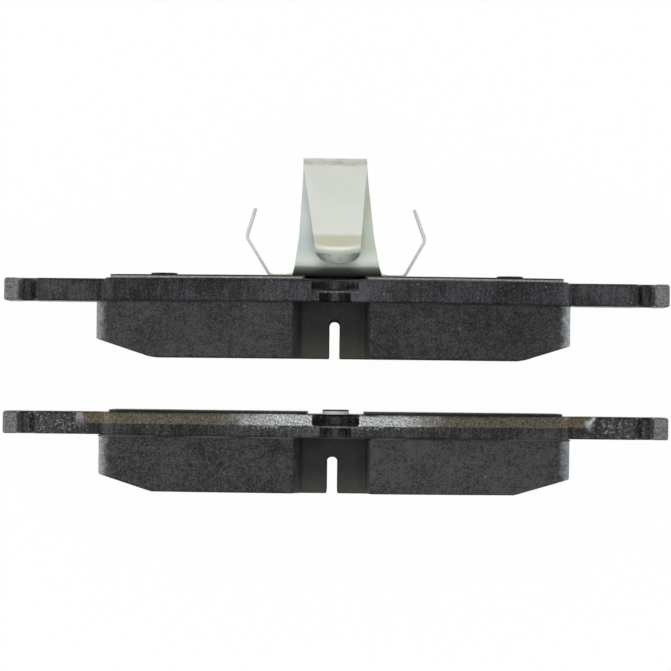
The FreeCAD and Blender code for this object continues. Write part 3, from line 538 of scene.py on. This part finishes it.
def cut_finish(name):
    """Sheared rims of the spring strip: bare grey metal with fine shear marks."""
    finish = Finish(name, roughness=0.5, metallic=0.2)
    marks = finish.grain(0.18, detail=3)
    bare = finish.step(marks, 0.35, 0.65)
    finish.colour(finish.mix(bare, srgb(196, 197, 190), srgb(232, 233, 226)))
    finish.gloss(finish.step(marks, 0.3, 0.7, 0.42, 0.6))
    finish.bumps((marks, 0.4, 0.03))
    return finish.material


def sheet_finish(name, colour, light, roughness=0.5, grain_size=0.5):
    """Coated shim or bonding layer: fine grain, and paler patches."""
    finish = Finish(name, roughness=roughness)
    grain = finish.grain(grain_size, detail=3)
    cloud = finish.grain(12, detail=3, shift=8)
    base = finish.mix(finish.step(cloud, 0.42, 0.62, 0.0, 0.8), colour, light)
    base = finish.mix(finish.step(grain, 0.55, 0.75, 0.0, 0.5), base, light)
    finish.colour(base)
    finish.gloss(finish.step(grain, 0.3, 0.7, roughness - 0.08, roughness + 0.1))
    finish.bumps((grain, 0.35, 0.05))
    return finish.material


def damping_finish(name):
    """The inner shim's pale layer. It is painted dark as shade in the notch clearance, which
    lies a little to the left of the pad's middle."""
    finish = Finish(name, roughness=0.55)
    grain = finish.grain(0.5, detail=3)
    off = finish.math("ABSOLUTE", finish.math("SUBTRACT", finish.axis("X"), CLEARANCE_X))
    pale = finish.mix(finish.step(grain, 0.4, 0.7), srgb(150, 149, 142), srgb(188, 188, 182))
    # Painted shade: dark in the clearance, under the clip.
    clearance_shade = finish.step(off, CLEARANCE_HALF, CLEARANCE_HALF - 0.7)
    finish.colour(finish.mix(clearance_shade, pale, srgb(18, 18, 18)))
    finish.gloss(finish.step(grain, 0.3, 0.7, 0.48, 0.62))
    finish.bumps((grain, 0.35, 0.05))
    return finish.material


def rivet_finish(name, colour, light):
    """Cold-headed rivet: steel clouded between two shades, with fine pits."""
    finish = Finish(name, roughness=0.42, metallic=0.6)
    cloud = finish.grain(1.2, detail=3)
    pits = finish.grain(0.25, detail=2, shift=5)
    finish.colour(finish.mix(finish.step(cloud, 0.4, 0.7), colour, light))
    finish.gloss(finish.step(cloud, 0.3, 0.7, 0.36, 0.55))
    finish.bumps((cloud, 0.3, 0.06), (pits, 0.3, 0.03))
    return finish.material


def locating_rivet_finish(name):
    """The outer pad's locating rivet: near-white shank and neck under a dark cap, partly plated
    metal and partly a painted highlight.
    """
    finish = Finish(name, roughness=0.42)
    cloud = finish.grain(1.2, detail=3)
    top = box_mm("outer_locating_rivet")[1].y
    cap = finish.step(finish.axis("Y"), top - 0.42, top - 0.3)
    # Near-white under the cap: partly the plated metal, partly a painted highlight.
    pale = finish.mix(finish.step(cloud, 0.4, 0.7), srgb(232, 232, 228), srgb(250, 250, 248))
    finish.colour(finish.mix(cap, pale, srgb(30, 28, 26)))
    finish.gloss(finish.step(cloud, 0.3, 0.7, 0.36, 0.55))
    finish.bumps((cloud, 0.3, 0.06))
    return finish.material


MAKERS = {
    "inner_plate_paint": (plate_finish, srgb(12, 12, 14), srgb(73, 73, 78)),
    "outer_plate_paint": (plate_finish, srgb(11, 11, 12), srgb(76, 75, 75)),
    "inner_friction_mix": (friction_finish, "inner"),
    "outer_friction_mix": (friction_finish, "outer"),
    "inner_bonding_layer": (sheet_finish, srgb(20, 20, 21), srgb(52, 52, 53), 0.6, 0.4),
    "outer_bonding_layer": (sheet_finish, srgb(30, 30, 31), srgb(92, 92, 92), 0.6, 0.4),
    "pale_damping_layer": (damping_finish,),
    "dark_damping_layer": (sheet_finish, srgb(12, 12, 12), srgb(24, 24, 24)),
    "shim_cover": (sheet_finish, srgb(14, 14, 13), srgb(34, 34, 32), 0.42),
    "shim_rivet": (rivet_finish, srgb(28, 28, 26), srgb(70, 69, 64)),
    "locating_rivet": (locating_rivet_finish,),
    "clip_rivet": (rivet_finish, srgb(120, 120, 116), srgb(176, 176, 170)),
    "spring_steel": (steel_finish,),
    "sheared_rim": (cut_finish,),
}
FINISHES = {name: maker(name, *values) for name, (maker, *values) in MAKERS.items()}
SLOT_OF = {part["node"]: part["material_slot"] for part in frame["record"]["subparts"]}


def finish_of(node):
    """The finish of a CAD node. Lining and bonding layer have one for each pad, and the locating
    rivet has its own."""
    side = node.split("_")[0]
    slot = SLOT_OF[node]
    own = {
        "friction_mix": f"{side}_friction_mix",
        "underlayer": f"{side}_friction_mix",
        "bonding_layer": f"{side}_bonding_layer",
    }
    if node == "outer_locating_rivet":
        return FINISHES["locating_rivet"]
    return FINISHES[own.get(slot, slot)]


def finish_cad_nodes():
    """Give each CAD node its finish."""
    for name, piece in NODES.items():
        piece.data.materials.clear()
        piece.data.materials.append(finish_of(name))


# ---------------------------------------------------------------- mesh tools

SHARP = math.radians(35)   # edges that turn by more are drawn sharp


def mesh_piece(name, mesh, finishes):
    """Turn a bmesh into a shaded object with its finishes and material slot."""
    bmesh.ops.recalc_face_normals(mesh, faces=mesh.faces)
    for face in mesh.faces:
        face.smooth = True
    for edge in mesh.edges:
        edge.smooth = len(edge.link_faces) == 2 and edge.calc_face_angle(0.0) < SHARP
    data = bpy.data.meshes.new(name)
    mesh.to_mesh(data)
    mesh.free()
    for finish in finishes:
        data.materials.append(FINISHES[finish])
    piece = bpy.data.objects.new(name, data)
    bpy.context.scene.collection.objects.link(piece)
    return piece


CORNER_STEPS = 6           # straight pieces that round off a corner


def rounded_outline(corners):
    """Points of a closed outline whose corners (x, y, radius) are rounded by arcs."""
    points = []
    count = len(corners)
    for index, (x, y, radius) in enumerate(corners):
        corner = Vector((x, y))
        if radius <= 0:
            points.append(corner)
            continue
        before = Vector(corners[index - 1][:2]) - corner
        after = Vector(corners[(index + 1) % count][:2]) - corner
        half = before.angle(after) / 2
        reach = radius / math.tan(half)
        before.normalize()
        after.normalize()
        centre = corner + (before + after).normalized() * (radius / math.sin(half))
        start = corner + before * reach - centre
        finish = corner + after * reach - centre
        for step in range(CORNER_STEPS + 1):
            share = step / CORNER_STEPS
            spoke = (start * (1 - share) + finish * share).normalized() * radius
            points.append(centre + spoke)
    return points


class Path:
    """The middle line of a bent strip: straight runs and arcs, walked in millimetres."""

    def __init__(self, start, heading):
        self.point = Vector(start)
        self.heading = math.radians(heading)
        self.runs = []
        self.length = 0.0

    def walk(self, length, turn=0.0):
        """Go on for a length while turning by an angle in degrees, anticlockwise positive."""
        bend = math.radians(turn) / length
        self.runs.append((self.length, length, self.point.copy(), self.heading, bend))
        self.point, self.heading = self.along(length, self.runs[-1])
        self.length += length
        return self

    def arc(self, turn, radius):
        """Go on round an arc of a radius by an angle in degrees."""
        return self.walk(abs(math.radians(turn)) * radius, turn)

    @staticmethod
    def along(distance, run):
        """Point and heading at a distance from the start of a run."""
        _, _, start, heading, bend = run
        if abs(bend) < 1e-9:
            return start + Vector((math.cos(heading), math.sin(heading))) * distance, heading
        ahead = heading + bend * distance
        offset = Vector((math.sin(ahead) - math.sin(heading), math.cos(heading) - math.cos(ahead)))
        return start + offset / bend, ahead

    def at(self, distance):
        """Point and unit normal at a distance from the start."""
        run = self.runs[0]
        for other in self.runs:
            if other[0] <= distance:
                run = other
        point, heading = self.along(distance - run[0], run)
        return point, Vector((-math.sin(heading), math.cos(heading)))

    def bends(self, step=7.0):
        """Distances at which the sheet is divided so that its arcs come out smooth."""
        cuts = []
        for start, length, _, _, bend in self.runs:
            if abs(bend) < 1e-9:
                continue
            count = max(2, round(math.degrees(abs(bend) * length) / step))
            cuts += [start + length * i / count for i in range(count + 1)]
        return cuts


STRIP = 0.7                # thickness of the clip's strip
RIM_ROUND = 0.09           # of the strip's rims


def bend_sheet(name, outline, path_at, cuts, place, seam, cross_cuts=()):
    """Cut a blank from strip, round its rims and bend it. The outline's points are (across, along).
    Rims on the seam, a value of along, stay square so that the next piece joins without a groove.
    path_at(across, along) gives a point and normal of the bent strip, and place(a, b, across) puts
    a bent point, in millimetres, in the frame."""
    mesh = bmesh.new()
    blank = mesh.faces.new([mesh.verts.new((x, s, -STRIP / 2)) for x, s in outline])
    raised = bmesh.ops.extrude_face_region(mesh, geom=[blank])["geom"]
    for item in raised:
        if isinstance(item, bmesh.types.BMVert):
            item.co.z += STRIP
    rims = []
    for rim in mesh.edges:
        level = abs(rim.verts[0].co.z - rim.verts[1].co.z) < 1e-9
        on_seam = all(abs(vertex.co.y - seam) < 1e-6 for vertex in rim.verts)
        if level and not on_seam:
            rims.append(rim)
    bmesh.ops.bevel(mesh, geom=rims, offset=RIM_ROUND, segments=2, profile=0.5, affect="EDGES")
    mesh.normal_update()
    for face in mesh.faces:
        face.material_index = int(abs(face.normal.z) < 0.9)
    planes = [((0, cut, 0), (0, 1, 0)) for cut in cuts]
    planes += [((cut, 0, 0), (1, 0, 0)) for cut in cross_cuts]
    for point, normal in planes:
        bmesh.ops.bisect_plane(mesh, geom=mesh.verts[:] + mesh.edges[:] + mesh.faces[:],
                               plane_co=point, plane_no=normal, dist=1e-5)
    for vertex in mesh.verts:
        across, along, height = vertex.co
        point, normal = path_at(across, along)
        point = point + normal * height
        vertex.co = place(point.x, point.y, across) * MM
    return mesh_piece(name, mesh, ("spring_steel", "sheared_rim"))


# ---------------------------------------------------------------- the piston clip

LEAF_BEND = 2.4            # radius of the bend from base to back leaf, at the strip's middle
LIP_BEND = 1.3             # of the tongue's knee
ARM_BEND = 1.5             # of the arms' bend out of the base
KNEE_BEND = 2.0            # of the arms' knee
ARM_TURN = 59.4            # degrees turned at the arms' bend
KNEE_TURN = 49.4           # and at their knee
ARMS = (                   # side, which way it points, bend line to knee, knee to tip
    ("left", -1, 10.6, 7.1),
    ("right", 1, 10.0, 7.7),
)
LEAN = 0.027               # the clip stands a little askew: sideways per millimetre out
SKEW = 0.015               # the front leaf runs the other way: sideways per millimetre below the fold
SEAM_X = 13.5              # where the arms' own pieces take over from the flat base
SEAM_BELOW_FOLD = 3.0      # where the tongue's piece takes over from the back leaf
SEAM_HALF = 7.62           # half width of the strip there
LEAF_LEAN = 11.5           # degrees between front and back leaf
LIP_LEAN = 38.0            # degrees between lip and back leaf
LIP_CURL = 16              # degrees that the lip turns on along its length
FRONT = 18.41              # length of the front leaf, fold to knee
LIP = 4.5                  # length of the lip
LIP_HALF = 5.42            # its half width
LIP_FULLNESS = 0.8         # of its rounded end: 1 would make it half an ellipse
LIP_STEPS = 20

BASE_LOW, BASE_HIGH = box_mm("clip_base")
ARM_LOW, ARM_HIGH = box_mm("clip_right_arm")
FOLD = Vector(JOINTS["tongue_flex"]["pos_m"]) / MM
MIDDLE_Y = BASE_LOW.y + STRIP / 2
LEAF_Z = BASE_HIGH.z - STRIP / 2
FOLD_RADIUS = FOLD.z - LEAF_Z


def mirrored(right):
    """The left side of an outline whose right side is given, in running order."""
    return [(-x, s, radius) for x, s, radius in reversed(right)]


def lean_over(z, y, x):
    """Put a point of the base or back leaf in the frame, with the clip's lean."""
    return Vector((x - LEAN * (y - MIDDLE_Y), y, z))


def lean_and_skew(z, y, x):
    """Put a point of the tongue in the frame: its front leaf leans back a little."""
    point = lean_over(z, y, x)
    if z > FOLD.z:
        point.x += SKEW * max(0.0, FOLD.y - y)
    return point


def make_clip_base():
    """Base and back leaf, in (z, y): flat upwards, a quarter bend, then out along +Y."""
    flat = LEAF_Z - LEAF_BEND - BASE_LOW.z
    path = Path((BASE_LOW.z, MIDDLE_Y), 0).walk(flat).arc(90, LEAF_BEND)
    leaf_start = path.length
    path.walk(FOLD.y - SEAM_BELOW_FOLD - path.point.y)
    wing_low, wing_high = ARM_LOW.z - BASE_LOW.z, ARM_HIGH.z - BASE_LOW.z
    right = [
        (BASE_HALF, 0, 2.0),
        (BASE_HALF, wing_low, 0.8),
        (SEAM_X, wing_low, 0),
        (SEAM_X, wing_high, 0),
        (BASE_HALF, wing_high, 0.8),
        (BASE_HALF, flat - 4.2, 3.0),
        (9.9, leaf_start - 0.4, 4.0),
        (8.75, leaf_start + 6.5, 18.0),
        (SEAM_HALF, path.length, 0),
    ]
    outline = rounded_outline(right + mirrored(right))
    base = bend_sheet("clip_base_sheet", outline, lambda x, s: path.at(s), path.bends(),
                      lean_over, path.length)
    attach(base, "inner_pad")
    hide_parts("clip_base")


def tongue_path(across):
    """Last of the back leaf, over the fold, down the front leaf to the curled lip, in (z, y). The
    knee dips towards the middle of the strip."""
    dip = 0.7 - 0.4 * (across / LIP_HALF) ** 2
    path = Path((LEAF_Z, FOLD.y - SEAM_BELOW_FOLD), 90).walk(SEAM_BELOW_FOLD)
    path.arc(LEAF_LEAN - 180, FOLD_RADIUS)
    path.walk(FRONT + dip).arc(-LEAF_LEAN - LIP_LEAN, LIP_BEND)
    return path.walk(LIP - dip, -LIP_CURL)


def make_clip_tongue():
    """The front leaf with its lip, bent over the fold from the last of the back leaf."""
    middle = tongue_path(0)
    fold_end = middle.runs[2][0]
    knee = fold_end + FRONT
    right = [
        (SEAM_HALF, 0, 0),
        (7.45, SEAM_BELOW_FOLD, 20),
        (7.4, fold_end, 20),
        (LIP_HALF, knee, 6),
    ]
    lip_end = []
    for step in range(1, LIP_STEPS):
        angle = math.pi * step / LIP_STEPS
        out = math.copysign(abs(math.cos(angle)) ** LIP_FULLNESS, math.cos(angle))
        down = math.sin(angle) ** LIP_FULLNESS
        lip_end.append((LIP_HALF * out, knee + (middle.length - knee) * down, 0))
    outline = rounded_outline(right + lip_end + mirrored(right))
    cuts = sorted(set(middle.bends(6)) | {knee - 1.5 + 0.25 * i for i in range(28)})
    cross_cuts = [0.9 * i for i in range(-7, 8)]
    tongue = bend_sheet("clip_tongue_sheet", outline, lambda x, s: tongue_path(x).at(s), cuts,
                        lean_and_skew, 0, cross_cuts)
    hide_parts("clip_tongue_leaf")
    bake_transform(tongue)


def make_clip_arm(side, way, to_knee, to_tip):
    """An arm, in (x, y): flat out of the base, up and out to the knee, in again to the tip."""
    bend_reach = ARM_BEND * math.tan(math.radians(ARM_TURN / 2))
    knee_reach = KNEE_BEND * math.tan(math.radians(KNEE_TURN / 2))
    flat = JOINTS["right_arm_flex"]["pos_m"][0] / MM - SEAM_X - bend_reach
    arm = Path((SEAM_X, MIDDLE_Y), 0).walk(flat)
    bend_from = arm.point.copy()
    bend_to = arm.arc(ARM_TURN, ARM_BEND).point.copy()
    arm.walk(to_knee - bend_reach - knee_reach).arc(KNEE_TURN, KNEE_BEND)
    tip = arm.walk(to_tip - knee_reach).length
    middle_z = (ARM_LOW.z + ARM_HIGH.z) / 2
    half = (ARM_HIGH.z - ARM_LOW.z) / 2
    right = [(half, 0, 0), (half, 4, 0), (half - 0.5, tip, 2.2)]
    outline = rounded_outline(right + mirrored(right))

    def in_arm_plane(x, y, z):
        return Vector((way * x - LEAN * (y - MIDDLE_Y), y, middle_z + z))

    piece = bend_sheet(f"clip_{side}_arm_sheet", outline, lambda z, s: arm.at(s), arm.bends(),
                       in_arm_plane, 0)
    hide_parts(f"clip_{side}_arm")
    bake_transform(piece)


# ---------------------------------------------------------------- the friction blocks

BLOCK_OVERLAP = 0.5        # how far a block runs into its underlayer, in millimetres
VOXEL = 0.36               # size of the grain that the blocks are built up from


def crumble(point, seed):
    """How far the pressed mix stands out or in at a point, in millimetres."""
    near = Vector(point) / MM + Vector((seed, seed * 0.37, seed * 0.71))
    coarse = noise.noise(near * 0.55)
    fine = noise.noise(near * 1.9)
    pit = noise.noise(near * 1.1 + Vector((31, 7, 3)))
    return 0.02 * coarse + 0.03 * fine - 0.1 * max(0.0, pit - 0.42)


def make_block(side, seed):
    """The friction block with broken edges and a granular skin, in place of the CAD solid. Its back
    runs a little way into the underlayer, so that no groove shows between the two."""
    node = f"{side}_friction_block"
    low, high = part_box(node)
    data = NODES[node].data.copy()
    data.materials.clear()
    for vertex in data.vertices:
        if high.y - vertex.co.y < 0.01 * MM:
            vertex.co.y += BLOCK_OVERLAP * MM
    block = bpy.data.objects.new(f"{side}_lining_block", data)
    bpy.context.scene.collection.objects.link(block)
    voxels = block.modifiers.new("voxels", "REMESH")
    voxels.mode = "VOXEL"
    voxels.voxel_size = VOXEL * MM
    soften = block.modifiers.new("soften", "SMOOTH")
    soften.factor = 0.5
    soften.iterations = 1
    graph = bpy.context.evaluated_depsgraph_get()
    data = bpy.data.meshes.new_from_object(block.evaluated_get(graph))
    block.modifiers.clear()
    block.data = data
    normals = [vertex.normal.copy() for vertex in data.vertices]
    for vertex, normal in zip(data.vertices, normals):
        moved = vertex.co + normal * (crumble(vertex.co, seed) * MM)
        vertex.co = [min(max(moved.x, low.x), high.x), max(moved.y, low.y),
                     min(max(moved.z, low.z), high.z)]
    data.materials.append(finish_of(node))
    for polygon in data.polygons:
        polygon.use_smooth = True
    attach(block, f"{side}_pad")
    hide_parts(node)


make_studio()
finish_cad_nodes()
make_clip_base()
make_clip_tongue()
for arm_sizes in ARMS:
    make_clip_arm(*arm_sizes)
make_block("inner", 0)
make_block("outer", 57)
